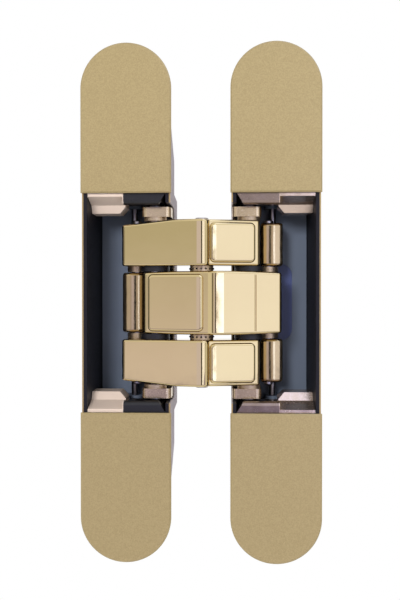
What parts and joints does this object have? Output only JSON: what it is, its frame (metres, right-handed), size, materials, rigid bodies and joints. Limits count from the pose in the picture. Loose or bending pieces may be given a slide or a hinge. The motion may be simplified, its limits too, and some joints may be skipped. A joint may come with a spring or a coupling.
{
  "type": "concealed door hinge",
  "caption": "Concealed hinge for a flush door: two slim mortised halves with rounded cover plates, joined by polished folding arms, opened out flat.",
  "frame": {"origin": "centre of the hinge's overall box when it is opened out flat", "axes": "+Z along the halves, +Y from the visible face into the mortise, X across from the frame half to the door half"},
  "size_m": [0.0742, 0.0328, 0.16],
  "materials": {
    "cap": "satin champagne",
    "case": "dark cast zinc",
    "carriage": "slate blue steel",
    "plated_block": "bright plated",
    "arm": "mirror polished champagne plate",
    "link": "plated",
    "pin": "ground",
    "washer": "plain",
    "spacer": "dark plastic",
    "screw": "plain"
  },
  "bodies": {
    "frame_half": {"case_left": "case", "cap_top_left": "cap", "cap_bottom_left": "cap", "carriage_left": "carriage", "end_block_top_left": "plated_block", "end_block_bottom_left": "plated_block", "adjusting_screws_left": "screw", "clamp_screws_left": "screw", "arm_pin_left": "pin", "link_pin_left": "pin", "lug_washers_left": "washer", "row_spacers_left": "spacer"},
    "middle_arm": {"middle_arm": "arm", "centre_pin": "pin", "centre_washers": "washer", "far_pin_right": "pin", "far_washers_right": "washer"},
    "outer_arms": {"upper_arm": "arm", "lower_arm": "arm", "far_pin_left": "pin", "far_washers_left": "washer"},
    "door_half": {"case_right": "case", "cap_top_right": "cap", "cap_bottom_right": "cap", "carriage_right": "carriage", "end_block_top_right": "plated_block", "end_block_bottom_right": "plated_block", "adjusting_screws_right": "screw", "clamp_screws_right": "screw", "arm_pin_right": "pin", "link_pin_right": "pin", "lug_washers_right": "washer", "row_spacers_right": "spacer"},
    "left_link": {"link_left": "link"},
    "right_links": {"link_upper_right": "link", "link_lower_right": "link"}
  },
  "joints": [
    {"name": "middle_arm_pivot", "type": "hinge", "parent": "frame_half", "child": "middle_arm", "pos_m": [-0.015, -0.0049, 0], "axis": [0, 0, -1], "range_deg": [0, 102.45]},
    {"name": "centre_pivot", "type": "hinge", "parent": "middle_arm", "child": "outer_arms", "pos_m": [0, -0.0079, 0], "axis": [0, 0, -1], "range_deg": [-24.91, 0]},
    {"name": "outer_arm_pivot", "type": "hinge", "parent": "outer_arms", "child": "door_half", "pos_m": [0.015, -0.0049, 0], "axis": [0, 0, -1], "range_deg": [0, 102.45]},
    {"name": "left_link_pivot", "type": "hinge", "parent": "frame_half", "child": "left_link", "pos_m": [-0.02326, 0.00861, 0], "axis": [0, 0, -1], "range_deg": [-39.2, 0]},
    {"name": "right_link_pivot", "type": "hinge", "parent": "door_half", "child": "right_links", "pos_m": [0.02326, 0.00861, 0], "axis": [0, 0, -1], "range_deg": [0, 39.2]}
  ],
  "couplings": [
    {"joint": "centre_pivot", "follows": "middle_arm_pivot", "ratio": -0.24313},
    {"joint": "outer_arm_pivot", "follows": "middle_arm_pivot", "ratio": 1},
    {"joint": "left_link_pivot", "follows": "middle_arm_pivot", "ratio": -0.38261},
    {"joint": "right_link_pivot", "follows": "middle_arm_pivot", "ratio": 0.38261}
  ]
}
